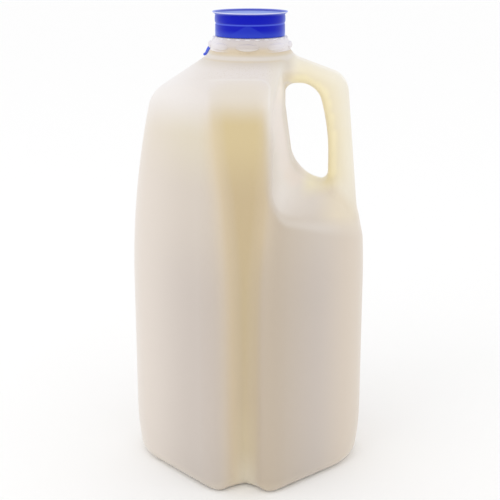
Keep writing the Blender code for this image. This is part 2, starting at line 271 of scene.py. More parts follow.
def bodyField(x, y, z):
    pocketEdge = pocketSizes["edgeRound"] + pocketSizes["edgeGrows"] * shareOf(x, *pocketSizes["edgeGrowsFrom"])
    block = roundMax(blockField(x, y, z), -grooveField(x, y, z), grooveSizes["edgeRound"])
    block = roundMax(block, -pocketField(x, y, z), pocketEdge)
    waistEnds = np.maximum(neckSizes["foot"] - z, z - neckSizes["waistTop"])
    waist = np.maximum(np.hypot(x, y) - neckSizes["waistRadius"], waistEnds)
    block = roundMin(block, waist, neckSizes["flareRound"])
    whole = roundMin(block, handleField(x, y, z), joinFillet(x, y, z))
    return roundMax(whole, neckFootField(x, y, z), neckSizes["footRound"])


# The skin: one point in each grid cell that the field's zero surface crosses, and a face round each crossed edge
skinSizes = {
    "gridStep": 1.26 * mm,
    "wall": 0.7 * mm,
    "innerTriangles": 24000,
    "openAt": 231.9 * mm,
    "reach": 70 * mm,
    "margin": 3 * mm,
    "nudge": 0.05 * mm,
    "settlingRounds": 5,
    "leastSlope": 0.25,
}


def crossedCells(values, mixed):
    # for each mixed cell, the middle of the points where the surface crosses its twelve edges
    total = np.zeros((int(mixed.sum()), 3))
    count = np.zeros(len(total))
    ends = (slice(None, -1), slice(1, None))
    for axis in range(3):
        for first in (0, 1):
            for second in (0, 1):
                sides = [first, second]
                sides.insert(axis, 0)
                start = values[tuple(ends[s] for s in sides)][mixed]
                sides[axis] = 1
                end = values[tuple(ends[s] for s in sides)][mixed]
                crosses = (start < 0) != (end < 0)
                point = np.array(sides, float) * np.ones((len(total), 1))
                point[:, axis] = np.where(crosses, start / np.where(crosses, start - end, 1), 0)
                total += point * crosses[:, None]
                count += crosses
    return total / count[:, None]


def slopeOf(points):
    nudge = skinSizes["nudge"]
    value = bodyField(*points.T)
    slope = [(bodyField(*(points + nudge * np.eye(3)[axis]).T) - value) / nudge for axis in range(3)]
    return value, np.stack(slope, 1)


def ontoSkin(points):
    longest = skinSizes["gridStep"]
    for _ in range(skinSizes["settlingRounds"]):
        value, slope = slopeOf(points)
        step = (value / np.maximum((slope**2).sum(1), skinSizes["leastSlope"]))[:, None] * slope
        points = points - np.clip(step, -longest, longest)
    return points


def skinSurface():
    step, reach, margin = skinSizes["gridStep"], skinSizes["reach"], skinSizes["margin"]
    low = np.array([-reach, -reach, -margin])
    high = np.array([reach, reach, neckSizes["waistTop"] + margin])
    axes = [np.arange(low[axis], high[axis] + step, step) for axis in range(3)]
    values = bodyField(*np.meshgrid(*axes, indexing="ij"))
    inside = values < 0
    ends = (slice(None, -1), slice(1, None))
    filled = sum(inside[i, j, k].astype(int) for i in ends for j in ends for k in ends)
    mixed = (filled > 0) & (filled < 8)
    points = low + step * (np.argwhere(mixed) + crossedCells(values, mixed))
    number = np.full(mixed.shape, -1)
    number[mixed] = np.arange(len(points))
    faces = []
    for axis in range(3):
        ahead = np.moveaxis(inside, axis, 0)
        cell = np.moveaxis(number, axis, 0)
        turned = ahead[:-1, 1:-1, 1:-1] != ahead[1:, 1:-1, 1:-1]
        outward = ahead[:-1, 1:-1, 1:-1][turned]
        ring = [cell[:, :-1, :-1], cell[:, 1:, :-1], cell[:, 1:, 1:], cell[:, :-1, 1:]]
        quads = np.stack([corner[turned] for corner in ring], 1)
        keepsOrder = outward if axis != 1 else ~outward
        faces.append(np.where(keepsOrder[:, None], quads, quads[:, ::-1]))
    return ontoSkin(points), np.concatenate(faces)


def linked(name, mesh):
    piece = bpy.data.objects.new(name, mesh)
    bpy.context.scene.collection.objects.link(piece)
    return piece


def settled(piece):
    # the modifiers' result as a plain mesh, with the modifiers gone
    depsgraph = bpy.context.evaluated_depsgraph_get()
    mesh = bpy.data.meshes.new_from_object(piece.evaluated_get(depsgraph))
    piece.modifiers.clear()
    piece.data = mesh
    return piece


def thinnedSkin(mesh, triangles):
    piece = linked("thinning", mesh.copy())
    decimate = piece.modifiers.new("Decimate", "DECIMATE")
    decimate.ratio = triangles / (2 * len(mesh.polygons))  # every face is a quad
    thinned = settled(piece).data
    bpy.data.objects.remove(piece)
    return thinned


def innerForm(skin, inset):
    form = bmesh.new()
    form.from_mesh(skin)
    form.normal_update()
    for vertex, normal in [(v, v.normal.copy()) for v in form.verts]:
        vertex.co -= normal * inset
    return form


def cutOff(form, height):
    everything = form.verts[:] + form.edges[:] + form.faces[:]
    cut = bmesh.ops.bisect_plane(
        form, geom=everything, plane_co=(0, 0, height), plane_no=(0, 0, 1), clear_outer=True)
    return [part for part in cut["geom_cut"] if isinstance(part, bmesh.types.BMEdge)]


# How much of each form a point belongs to, kept as attributes that the material reads
maskSizes = {
    "holeAcross": (18, 46),
    "holeUp": (168, 216),
    "holeStep": 1.5,
    "holeFade": 11 * mm,
    "flat": (34 * mm, 42 * mm),
    "flatOffPocket": (0, 6 * mm),
    "grooveRim": (1.4 * mm, -2 * mm),
    "grooveFloor": (0, -8 * mm),
    "grooveSideAt": -0.5 * mm,
    "grooveSideFade": 4.5 * mm,
    "leftSide": (2 * mm, -3 * mm),
    "rightSide": (3 * mm, 8 * mm),
    "rightSideFrom": (120 * mm, 145 * mm),
    "pocketDepth": (0.2 * mm, 3.0 * mm),
    "pocketEdge": (4 * mm, 0.5 * mm),
    "edgeFade": 1.3 * mm,
    "handle": (-5 * mm, 7 * mm),
}


def bell(values, fade):
    return np.exp(-((values / fade) ** 2))


def fromHole(x, z):
    # distance from the finger hole, measured in the parting plane; its grid is in millimetres
    size = maskSizes
    ranges = [np.arange(*size[name], size["holeStep"]) * mm for name in ("holeAcross", "holeUp")]
    across, up = (grid.ravel() for grid in np.meshgrid(*ranges))
    openHere = bodyField(across, np.zeros_like(across), up) > 0
    distance = np.full(len(x), np.inf)
    for spotX, spotZ in zip(across[openHere], up[openHere]):
        distance = np.minimum(distance, np.hypot(x - spotX, z - spotZ))
    return distance


def formShares(points):
    size = maskSizes
    x, y, z = points.T
    block = blockField(x, y, z)
    groove, pocket, handle = grooveField(x, y, z), pocketField(x, y, z), handleField(x, y, z)
    grooved = np.maximum(block, -groove)
    cut = np.maximum(grooved, -pocket)
    fromRim, slope, depth = grooveSides(x, z)
    fromSide = fromRim + slope * depth / 2
    flat = shareOf(np.abs(y), *size["flat"]) * shareOf(pocket, *size["flatOffPocket"])
    inGroove = (shareOf(fromSide, *size["grooveRim"]) + shareOf(fromSide, *size["grooveFloor"])) / 2
    lit = shareOf(x, *size["leftSide"]) + shareOf(x, *size["rightSide"]) * shareOf(z, *size["rightSideFrom"]) / 2
    return {
        "inGroove": inGroove * flat,
        # painted highlight: a pale line along each side of the groove
        "grooveSideHighlight": bell(fromSide - size["grooveSideAt"], size["grooveSideFade"]) * flat * lit,
        "inPocket": shareOf(-grooved, *size["pocketDepth"]) * shareOf(pocket, *size["pocketEdge"]),
        "inHandle": shareOf(cut - np.maximum(handle, 0) * 2, *size["handle"]),
        # where the pocket's edge carries a painted highlight
        "pocketEdge": bell(grooved, size["edgeFade"]) * bell(pocket, size["edgeFade"]),
        "nearHole": bell(fromHole(x, z), size["holeFade"]),
    }


def makeSkin():
    points, faces = skinSurface()
    outer = bpy.data.meshes.new("outerSkin")
    outer.from_pydata(points.tolist(), [], faces.tolist())
    print("skin found:", len(outer.vertices), "points")
    return outer


def makeBottle(outer, thinned):
    inner = innerForm(thinned, skinSizes["wall"])
    cutOff(inner, skinSizes["openAt"])
    bmesh.ops.reverse_faces(inner, faces=inner.faces[:])
    innerMesh = bpy.data.meshes.new("innerSkin")
    inner.to_mesh(innerMesh)
    inner.free()
    form = bmesh.new()
    form.from_mesh(outer)
    cutOff(form, skinSizes["openAt"])
    form.from_mesh(innerMesh)
    rims = [edge for edge in form.edges if edge.is_boundary]
    bmesh.ops.bridge_loops(form, edges=rims)
    bmesh.ops.triangulate(form, faces=[face for face in form.faces if len(face.verts) > 4])
    mesh = bpy.data.meshes.new("bottleSkin")
    form.to_mesh(mesh)
    form.free()
    spots = np.zeros(len(mesh.vertices) * 3)
    mesh.vertices.foreach_get("co", spots)
    for name, share in formShares(spots.reshape(-1, 3)).items():
        attribute = mesh.attributes.new(name, "FLOAT", "POINT")
        attribute.data.foreach_set("value", share.astype(np.float32))
    mesh.shade_smooth()
    print("bottle skin made:", sum(len(face.vertices) - 2 for face in mesh.polygons), "triangles")
    return linked("bottleSkin", mesh)


def turnedForm(profile, segments, closed=False):
    # a body of revolution; a radius of 0 is a pole, and a closed profile makes a ring
    form = bmesh.new()
    rings = []
    for radius, height in profile:
        if radius == 0:
            rings.append([form.verts.new((0, 0, height))])
            continue
        turns = [2 * math.pi * step / segments for step in range(segments)]
        rings.append([form.verts.new((radius * math.cos(t), radius * math.sin(t), height)) for t in turns])
    pairs = list(zip(rings, rings[1:]))
    if closed:
        pairs.append((rings[-1], rings[0]))
    for lower, upper in pairs:
        for step in range(segments):
            ahead = (step + 1) % segments
            corners = [lower[step % len(lower)], lower[ahead % len(lower)]]
            corners += [upper[ahead % len(upper)], upper[step % len(upper)]]
            form.faces.new(list(dict.fromkeys(corners)))
    bmesh.ops.recalc_face_normals(form, faces=form.faces[:])
    return form


def arcPoints(middle, radius, startTurn, endTurn, steps):
    turns = [math.radians(startTurn + (endTurn - startTurn) * step / steps) for step in range(steps + 1)]
    return [(middle[0] + radius * math.cos(t), middle[1] + radius * math.sin(t)) for t in turns]


def meshFrom(form, name, sharpAngle=40):
    mesh = bpy.data.meshes.new(name)
    form.to_mesh(mesh)
    form.free()
    mesh.shade_smooth()
    mesh.set_sharp_from_angle(angle=math.radians(sharpAngle))
    return mesh


def makeNeck():
    size = neckSizes
    radius, height = size["collarRadius"], size["collarHeight"]
    topRadius, top = size["collarTopRadius"], size["collarTop"]
    wall, finish, mouth = skinSizes["wall"], size["finishRadius"], size["mouthHeight"]
    waist, foot = size["waistRadius"], skinSizes["openAt"]
    outside = [
        (waist - 0.1 * mm, foot - 1.2 * mm),
        (waist + 0.3 * mm, foot - 0.5 * mm),
        (waist + 0.28 * mm, foot + 0.1 * mm),
        (waist + 0.2 * mm, foot + 0.9 * mm),
        (radius, height - 1.6 * mm),
        *arcPoints((radius - 2.2 * mm, height - 0.6 * mm), 2.2 * mm, 5, 32, 4),
        (topRadius + 1.4 * mm, top - 1.8 * mm),
        (topRadius + 0.7 * mm, top - 0.7 * mm),
        *arcPoints((topRadius - 0.3 * mm, top - 0.5 * mm), 0.5 * mm, 15, 90, 4),
        (finish + 0.05 * mm, top),
        (finish, top + 0.3 * mm),
        *arcPoints((finish - 0.35 * mm, mouth - 0.35 * mm), 0.35 * mm, 0, 180, 6),
    ]
    inside = [
        (finish - wall, top + 0.5 * mm),
        (finish - wall + 0.3 * mm, top - 0.8 * mm),
        (radius - 2.2 * mm, height + 0.6 * mm),
        (radius - 1.5 * mm, height - 1.5 * mm),
        (waist - wall - 0.4 * mm, foot + 0.4 * mm),
        (waist - wall - 0.4 * mm, foot - 1.2 * mm),
    ]
    form = turnedForm(outside + inside, size["segments"], closed=True)
    return linked("neckFinish", meshFrom(form, "neckFinish", 60))


# Geometry Nodes: pads of one shape, bent to the neck's round and set evenly about it
padSizes = {
    "lugs": {"Count": 8, "Ring radius": 20.9 * mm, "Height": 234.5 * mm, "Pad": (1.75 * mm, 6.5 * mm, 2.0 * mm)},
    "teeth": {"Count": 24, "Ring radius": 19.6 * mm, "Height": 238.35 * mm, "Pad": (0.6 * mm, 1.35 * mm, 0.5 * mm)},
}


class NodeBuild:
    def __init__(self, tree):
        self.tree = tree

    def feed(self, socket, value):
        value = value.socket if isinstance(value, Value) else value
        if isinstance(value, bpy.types.NodeSocket):
            self.tree.links.new(value, socket)
        else:
            socket.default_value = value

    def add(self, kind, settings=None, values=None):
        # a node of any type: its settings first, then its sockets' values or links
        node = self.tree.nodes.new(kind)
        for name, value in (settings or {}).items():
            setattr(node, name, value)
        for key, value in (values or {}).items():
            self.feed(node.inputs[key], value)
        return node


def padRingTree():
    tree = bpy.data.node_groups.new("Pads round a ring", "GeometryNodeTree")
    inputs = {}
    for name, kind in (("Count", "NodeSocketInt"), ("Ring radius", "NodeSocketFloat"),
                       ("Height", "NodeSocketFloat"), ("Pad", "NodeSocketVector"),
                       ("Material", "NodeSocketMaterial")):
        inputs[name] = tree.interface.new_socket(name, in_out="INPUT", socket_type=kind).identifier
    tree.interface.new_socket("Geometry", in_out="OUTPUT", socket_type="NodeSocketGeometry")
    build = NodeBuild(tree)
    given = build.add("NodeGroupInput").outputs

    def maths(operation, first, second=0.0):
        return build.add("ShaderNodeMath", {"operation": operation}, {0: first, 1: second}).outputs[0]

    ball = build.add("GeometryNodeMeshUVSphere", values={"Segments": 24, "Rings": 12, "Radius": 1.0})
    pad = build.add("GeometryNodeTransform", values={"Geometry": ball.outputs["Mesh"], "Scale": given["Pad"]})
    place = build.add("ShaderNodeSeparateXYZ", values={0: build.add("GeometryNodeInputPosition").outputs[0]})
    turn = maths("DIVIDE", place.outputs[1], given["Ring radius"])
    reach = maths("ADD", place.outputs[0], given["Ring radius"])
    bent = build.add("ShaderNodeCombineXYZ", values={
        "X": maths("MULTIPLY", reach, maths("COSINE", turn)),
        "Y": maths("MULTIPLY", reach, maths("SINE", turn)),
        "Z": maths("ADD", place.outputs[2], given["Height"])})
    curved = build.add("GeometryNodeSetPosition", values={
        "Geometry": pad.outputs[0], "Position": bent.outputs[0]})
    stack = build.add("GeometryNodeMeshLine", values={"Count": given["Count"], "Offset": (0, 0, 0)})
    step = maths("DIVIDE", 2 * math.pi, given["Count"])
    angle = maths("MULTIPLY", build.add("GeometryNodeInputIndex").outputs[0], step)
    turned = build.add("ShaderNodeCombineXYZ", values={"Z": maths("SUBTRACT", angle, math.pi / 2)})
    facing = build.add("FunctionNodeEulerToRotation", values={0: turned.outputs[0]})
    pads = build.add("GeometryNodeInstanceOnPoints", values={
        "Points": stack.outputs[0], "Instance": curved.outputs[0], "Rotation": facing.outputs[0]})
    real = build.add("GeometryNodeRealizeInstances", values={"Geometry": pads.outputs[0]})
    smooth = build.add("GeometryNodeSetShadeSmooth", values={"Geometry": real.outputs[0]})
    painted = build.add("GeometryNodeSetMaterial", values={
        "Geometry": smooth.outputs[0], "Material": given["Material"]})
    build.add("NodeGroupOutput", values={0: painted.outputs[0]})
    return tree, inputs


def makePads(name, tree, inputs, sizes, material):
    piece = linked(name, bpy.data.meshes.new(name))
    modifier = piece.modifiers.new("Pads", "NODES")
    modifier.node_group = tree
    for label, value in {**sizes, "Material": material}.items():
        modifier[inputs[label]] = value
    return settled(piece)


# Juice: the thinned skin moved half-way into the wall, filled up to its level
juiceSizes = {"inset": 0.35 * mm, "level": 204.5 * mm}


def makeJuice(thinned):
    form = innerForm(thinned, juiceSizes["inset"])
    rims = cutOff(form, juiceSizes["level"])
    bmesh.ops.holes_fill(form, edges=rims, sides=0)
    bmesh.ops.triangulate(form, faces=[face for face in form.faces if len(face.verts) > 4])
    return linked("juiceFill", meshFrom(form, "juiceFill"))


# Cap: a shallow cup with a thin lip turned up round its top, a tear band and a pull tab
capSizes = {
    "radius": 18.6 * mm,
    "wall": 1.1 * mm,
    "foot": 239.1 * mm,
    "top": 250.8 * mm,
    "topThick": 1.4 * mm,
    "lipRadius": 20.2 * mm,
    "lipTop": 251.9 * mm,
    "lipThick": 0.45 * mm,
    "bandLine": 245.7 * mm,
    "bandGap": 0.3 * mm,
    "bulge": 0.25 * mm,
    "segments": 160,
    "tabDirection": math.radians(142),
    "tabWidth": 5.2 * mm,
    "tabThick": 0.9 * mm,
    "tabEdge": 0.22 * mm,
    "tabTipRadius": 33.1 * mm,
    "tabTipHeight": 226.5 * mm,
}


def makeCap():
    size = capSizes
    radius, top, foot, line = size["radius"], size["top"], size["foot"], size["bandLine"]
    inside = radius - size["wall"]
    ceiling = top - size["topThick"]
    bulge, gap = size["bulge"], size["bandGap"]
    lip, lipTop = size["lipRadius"], size["lipTop"]
    profile = [
        (0, ceiling),
        (inside - 1.2 * mm, ceiling),
        *arcPoints((inside - 1.0 * mm, ceiling - 1.0 * mm), 1.0 * mm, 75, 0, 4),
        (inside, foot + 0.2 * mm),
        (inside + 0.2 * mm, foot),
        *arcPoints((radius - 0.3 * mm, foot + 0.3 * mm), 0.3 * mm, -90, 0, 3),
        (radius + bulge * 0.3, foot + 2.6 * mm),
        (radius, line - gap * 1.6),
        (radius - gap * 0.9, line - gap * 0.6),
        (radius - gap * 0.9, line + gap * 0.6),
        (radius, line + gap * 1.6),
        (radius + bulge * 0.8, line + 1.2 * mm),
        (radius + bulge, line + 2.3 * mm),
        (radius + bulge * 0.6, top - 1.3 * mm),
        (radius, top - 0.55 * mm),
        (radius + 0.25 * mm, top - 0.15 * mm),
        (lip - 0.35 * mm, lipTop - 0.55 * mm),
        (lip, lipTop - 0.18 * mm),
        (lip - 0.08 * mm, lipTop),
        (lip - size["lipThick"], lipTop - 0.12 * mm),
        (radius + 0.1 * mm, top + 0.35 * mm),
        (radius - 0.6 * mm, top + 0.08 * mm),
        (radius - 1.6 * mm, top),
        (radius * 0.5, top + 0.05 * mm),
        (0, top + 0.08 * mm),
    ]
    return linked("snapCap", meshFrom(turnedForm(profile, size["segments"]), "snapCap", 50))


# The tab's stations: share of its run, of its width and of its thickness
tabStations = [
    (0.0, 1.15, 1.2), (0.12, 1.0, 1.2), (0.3, 1.0, 1.5), (0.45, 1.15, 1.9), (0.6, 1.25, 2.0), (0.75, 1.05, 1.6),
    (0.88, 0.75, 1.2), (0.92, 0.65, 1.0), (0.94, 0.8, 1.3), (0.98, 0.8, 1.3), (1.0, 0.7, 1.0)]


def makeTab():
    # the strap runs straight from the tear band out over the collar, narrows, and ends in a raised grip
    size = capSizes
    start = Vector((size["radius"] - 0.6 * mm, size["foot"] + 1.1 * mm))
    run = Vector((size["tabTipRadius"], size["tabTipHeight"])) - start
    along = run.normalized()
    out = Vector((-along.y, along.x))
    form = bmesh.new()
    rings = []
    for share, widthShare, thickShare in tabStations:
        middle = start + run * share
        half = size["tabWidth"] / 2 * widthShare
        thick = size["tabThick"] * thickShare / 2
        edge = min(size["tabEdge"], thick * 0.6)
        section = [(-half, -thick + edge), (-half + edge, -thick), (half - edge, -thick), (half, -thick + edge),
                   (half, thick - edge), (half - edge, thick), (-half + edge, thick), (-half, thick - edge)]
        ring = []
        for across, up in section:
            spot = middle + out * up
            ring.append(form.verts.new((spot.x, across, spot.y)))
        rings.append(ring)
    for first, second in zip(rings, rings[1:]):
        for step in range(len(first)):
            ahead = (step + 1) % len(first)
            form.faces.new([first[step], first[ahead], second[ahead], second[step]])
    form.faces.new(rings[0])
    form.faces.new(rings[-1])
    bmesh.ops.recalc_face_normals(form, faces=form.faces[:])
    bmesh.ops.rotate(form, verts=form.verts[:], matrix=Matrix.Rotation(size["tabDirection"], 3, "Z"))
    return linked("pullTab", meshFrom(form, "pullTab", 35))


# Materials: Python expressions on sockets
def screenColour(red, green, blue, share=1.0):
    colour = []
    for value in (red / 255, green / 255, blue / 255):
        colour.append(share * (value / 12.92 if value <= 0.04045 else ((value + 0.055) / 1.055) ** 2.4))
    return (*colour, 1.0)


class Value:
    def __init__(self, paint, socket):
        self.paint, self.socket = paint, socket

    def maths(self, operation, first, second=0.0):
        node = self.paint.add("ShaderNodeMath", {"operation": operation}, {0: first, 1: second})
        return Value(self.paint, node.outputs[0])

    def __add__(self, other): return self.maths("ADD", self, other)
    def __radd__(self, other): return self.maths("ADD", other, self)
    def __sub__(self, other): return self.maths("SUBTRACT", self, other)
    def __rsub__(self, other): return self.maths("SUBTRACT", other, self)
    def __mul__(self, other): return self.maths("MULTIPLY", self, other)
    def __rmul__(self, other): return self.maths("MULTIPLY", other, self)
    def __pow__(self, other): return self.maths("POWER", self, other)
    def __rpow__(self, other): return self.maths("POWER", other, self)
    def __abs__(self): return self.maths("ABSOLUTE", self)
    def atLeast(self, other): return self.maths("MAXIMUM", self, other)


class Paint(NodeBuild):
    def __init__(self, name):
        self.material = bpy.data.materials.new(name)
        self.material.use_nodes = True
        super().__init__(self.material.node_tree)
        self.shader = self.tree.nodes["Principled BSDF"]
        self.spot = self.add("ShaderNodeTexCoord").outputs["Object"]
        split = self.add("ShaderNodeSeparateXYZ", values={0: self.spot})
        self.x, self.y, self.z = (Value(self, output) for output in split.outputs)

    def fromAxis(self):
        return (self.x * self.x + self.y * self.y) ** 0.5

    def share(self, value, start, end, strength=1.0):
        # nothing at start, the whole strength at end, eased between
        node = self.add("ShaderNodeMapRange", {"interpolation_type": "SMOOTHSTEP"}, {
            "Value": value, "From Min": start, "From Max": end, "To Min": 0.0, "To Max": strength})
        return Value(self, node.outputs["Result"])

    def mix(self, first, second, factor):
        node = self.add("ShaderNodeMix", {"data_type": "RGBA"}, {0: factor, 6: first, 7: second})
        return Value(self, node.outputs[2])

    def byHeight(self, colours):
        # colours at heights in millimetres, eased from each to the next
        heights = sorted(colours)
        colour = colours[heights[0]]
        for lower, upper in zip(heights, heights[1:]):
            colour = self.mix(colour, colours[upper], self.share(self.z, lower * mm, upper * mm))
        return colour

    def attribute(self, name):
        return Value(self, self.add("ShaderNodeAttribute", {"attribute_name": name}).outputs["Fac"])

    def noise(self, scale, detail):
        node = self.add("ShaderNodeTexNoise", values={"Vector": self.spot, "Scale": scale, "Detail": detail})
        return Value(self, node.outputs["Fac"])

    def bump(self, height, strength):
        node = self.add("ShaderNodeBump", values={"Height": height, "Strength": strength, "Distance": 0.3 * mm})
        return Value(self, node.outputs["Normal"])

    def finish(self, values):
        for name, value in values.items():
            self.feed(self.shader.inputs[name], value)
        return self.material


# What all the plastics share: soft bright edges, and a fine grain in the gloss
mouldedLook = {"IOR": 1.5, "Sheen Roughness": 0.4}
mouldedGrain = {"scale": 700, "detail": 2}


def mouldedFinish(paint, colour, relief, strength, values):
    return paint.finish({"Base Color": colour, "Normal": paint.bump(relief, strength), **mouldedLook, **values})


# Bottle plastic: natural polyethylene with the juice showing through it, in the colours it has in even light, with
# painted light and painted shade laid over them
def asLit(red, green, blue):
    return screenColour(red, green, blue, 0.85)


plasticLook = {
    "headspace": asLit(241, 233, 227),
    "headspaceLitLeft": asLit(249, 243, 239),
    # painted shade: the wall's colours darken towards the bottom; near the level they take the juice's yellow
    "wall": {5: asLit(210, 199, 189), 45: asLit(212, 200, 190), 105: asLit(211, 199, 189),
             160: asLit(222, 210, 197), 196: asLit(232, 221, 199)},
    # painted shade: darker ochre beside the groove
    "besideGrooveShade": asLit(202, 184, 158),
    # painted light: both round corners are paler, as if lit through the thin plastic
    "handleCorner": asLit(233, 218, 200),
    "plainCorner": asLit(243, 232, 221),
    "grooveEmpty": asLit(237, 227, 213),
    "groove": {2: asLit(232, 221, 197), 26: asLit(219, 202, 166), 55: asLit(212, 193, 157),
               105: asLit(210, 190, 151), 160: asLit(210, 188, 147), 194: asLit(224, 203, 155)},
    # painted light: the handle is painted paler, as if lit through, and paler still round the finger hole, at the
    # arch's root and on the pocket round the hole
    "handle": asLit(255, 249, 235),
    "handleInside": asLit(255, 242, 204),
    "handleRoot": screenColour(255, 246, 198),
    "handleRim": screenColour(255, 246, 208),
    "archRoot": screenColour(255, 242, 214),
    "pocketRim": screenColour(240, 228, 220, 0.92),
    "grooveSideHighlight": asLit(238, 217, 180),
    # painted light: the pocket and the strip beside it are painted paler
    "pocket": asLit(245, 237, 230),
    "pocketLow": asLit(222, 210, 197),
    "rootCorner": asLit(243, 229, 203),
    "strip": asLit(242, 234, 220),
    # painted highlight along the pocket's edges and the panel's line
    "edgeGlow": asLit(246, 240, 234),
    "collar": asLit(221, 211, 206),
    "collarHigh": asLit(223, 214, 212),
    # painted light on the collar's sides and under its lugs
    "collarSideLight": screenColour(236, 232, 238, 0.97),
    "lugUnderLight": asLit(250, 245, 240),
    # painted shade: a darker ochre on the waist under the collar
    "waist": asLit(229, 212, 184),
    # painted shade: darker ochre round the neck's foot
    "neckFoot": asLit(214, 201, 177),
    # painted light: the foot is paler near the floor, where its turn under would be shaded
    "foot": screenColour(240, 228, 206, 0.97),
    "tooth": asLit(255, 254, 255),
    "toothShare": 0.6,
    "levelAbove": 2.5 * mm,
    "levelWaves": 4 * mm,
    "levelCloud": {"scale": 14, "detail": 3},
    "grooveSideShare": 0.45,
    "handleLeast": 0.2,
    "edgeShare": 0.35,
    "lineShare": 0.55,
    "stipple": {"scale": 1300, "detail": 1},
    "stippleShare": 1.1,
    "ringShare": 0.45,
    "relief": 0.25,
    "lineRelief": 0.8,
    "stippleRelief": 0.5,
    "grainRelief": 0.25,
    "collarRelief": 0.06,
    "roughness": 0.4,
    "collarRoughness": 0.36,
    "sheen": 0.4,
}
panelSizes = {
    "rise": 0.9627,  # how the panel's slope mixes height
    "fall": 0.2706,  # and distance from the parting plane
    "level": 202.1 * mm,
    "right": 12.6 * mm,
    "round": 5 * mm,
}
neckRings = {"dark": 24.6 * mm, "pale": 23.3 * mm}
# Fades of the bottle's colours: where one starts, where it is full and, if it isn't 1, how strong it is then
skinFades = {
    "level": (6 * mm, -16 * mm),
    "levelLeft": (-15 * mm, -60 * mm, 2 * mm),
    "grooveLevel": (7 * mm, -9 * mm),
    "besideRight": (44 * mm, 12 * mm, 0.68),
    "besideRightIn": (0, 10 * mm),
    "besideLeft": (-26 * mm, -10 * mm, 0.15),
    "besideLeftIn": (5 * mm, -5 * mm),
    "handleCorner": (36 * mm, 60 * mm, 0.9),
    "plainCorner": (-24 * mm, -66 * mm, 0.85),
    "headspaceLitLeft": (-16 * mm, -44 * mm),
    "strip": (9 * mm, 15 * mm, 0.75),
    "stripUp": (162 * mm, 204 * mm),
    "pocketUp": (146 * mm, 166 * mm),
    "rootCorner": (34 * mm, 50 * mm, 0.9),
    "nearGroove": (20 * mm, 13 * mm, 0.4),
    "nearGrooveDown": (204 * mm, 184 * mm),
    "rim": (0.7, 0.97),
    "glow": (0.3, 0.95),
    "rootDown": (190 * mm, 172 * mm),
    "handleRoot": (27 * mm, 36 * mm, 0.9),
    "archUp": (203 * mm, 213 * mm),
    "archRoot": (15 * mm, 21 * mm, 0.9),
    "handleUp": (134 * mm, 176 * mm, 0.8),
    "panelOut": (22 * mm, 28 * mm),
    "panelRight": (14.5 * mm, 13.5 * mm),
    "panelLeft": (-24 * mm, -14 * mm),
    "panelUp": (204 * mm, 210 * mm),
    "panelLine": (0.9 * mm, 0.2 * mm),
    "stippleUp": (0.5 * mm, 2 * mm),
    "stippleTop": (229 * mm, 228 * mm),
    "neckFoot": (32 * mm, 23 * mm, 0.58),
    "neckRing": (0.9 * mm, 0.2 * mm),
    "neckRingRight": (21 * mm, 15 * mm),
    "neckBand": (1.2 * mm, 0.3 * mm, 0.5),
    "waistUp": (229.5 * mm, 231.5 * mm),
    "foot": (8 * mm, 1 * mm, 0.28),
}


def paintWalls(paint, level):
    look, fades, x = plasticLook, skinFades, paint.x
    full = paint.share(paint.z - level + paint.share(x, *fades["levelLeft"]), *fades["level"])
    # painted shade: the walls are darker and more ochre beside the groove, strongly on the right and faintly on the
    # left
    right = paint.share(x, *fades["besideRight"]) * paint.share(x, *fades["besideRightIn"])
    left = paint.share(x, *fades["besideLeft"]) * paint.share(x, *fades["besideLeftIn"])
    wall = paint.mix(paint.byHeight(look["wall"]), look["besideGrooveShade"], right + left)
    # painted light: paler towards both round corners
    wall = paint.mix(wall, look["handleCorner"], paint.share(x, *fades["handleCorner"]))
    wall = paint.mix(wall, look["plainCorner"], paint.share(x, *fades["plainCorner"]))
    # painted light: the headspace is paler towards the left
    headspace = paint.mix(look["headspace"], look["headspaceLitLeft"], paint.share(x, *fades["headspaceLitLeft"]))
    wall = paint.mix(headspace, wall, full)
    grooveFull = paint.share(paint.z - level, *fades["grooveLevel"])
    groove = paint.mix(look["grooveEmpty"], paint.byHeight(look["groove"]), grooveFull)
    colour = paint.mix(wall, groove, paint.attribute("inGroove"))
    # painted highlight along the groove's sides, below the level
    grooveSideHighlight = paint.attribute("grooveSideHighlight") * full * look["grooveSideShare"]
    return paint.mix(colour, look["grooveSideHighlight"], grooveSideHighlight)


def paintPocket(paint, colour):
    # painted light: the strip between groove and pocket, which holds little juice, is painted paler, and so are the
    # pocket's walls, as if lit through; painted shade darkens the pocket near the groove's top
    look, fades, x, z = plasticLook, skinFades, paint.x, paint.z
    strip = paint.share(x, *fades["strip"]) * paint.share(z, *fades["stripUp"])
    colour = paint.mix(colour, look["strip"], strip)
    pocket = paint.mix(look["pocketLow"], look["pocket"], paint.share(z, *fades["pocketUp"]))
    pocket = paint.mix(pocket, look["rootCorner"], paint.share(x, *fades["rootCorner"]))
    # painted shade: the pocket is darker near the groove at its top
    nearGroove = paint.share(x, *fades["nearGroove"]) * paint.share(z, *fades["nearGrooveDown"])
    pocket = paint.mix(pocket, look["besideGrooveShade"], nearGroove)
    return paint.mix(colour, pocket, paint.attribute("inPocket"))


def paintHandle(paint, colour):
    # light gathers round the finger hole and where the handle joins the body
    look, fades, x, z = plasticLook, skinFades, paint.x, paint.z
    beside = paint.attribute("nearHole")
    rim, glow = paint.share(beside, *fades["rim"]), paint.share(beside, *fades["glow"])
    colour = paint.mix(colour, look["pocketRim"], rim * paint.attribute("inPocket"))
    root = glow * paint.share(z, *fades["rootDown"]) * paint.share(x, *fades["handleRoot"])
    colour = paint.mix(colour, look["handleRoot"], root)
    arch = glow * paint.share(z, *fades["archUp"]) * paint.share(x, *fades["archRoot"])
    colour = paint.mix(colour, look["archRoot"], arch)
    handle = paint.mix(look["handle"], look["handleInside"], beside)
    handle = paint.mix(handle, look["handleRim"], rim)
    shown = paint.attribute("inHandle") * (paint.share(z, *fades["handleUp"]) + look["handleLeast"])
    colour = paint.mix(colour, handle, shown)
    # painted highlight along the pocket's edges
    return paint.mix(colour, look["edgeGlow"], paint.attribute("pocketEdge") * look["edgeShare"])


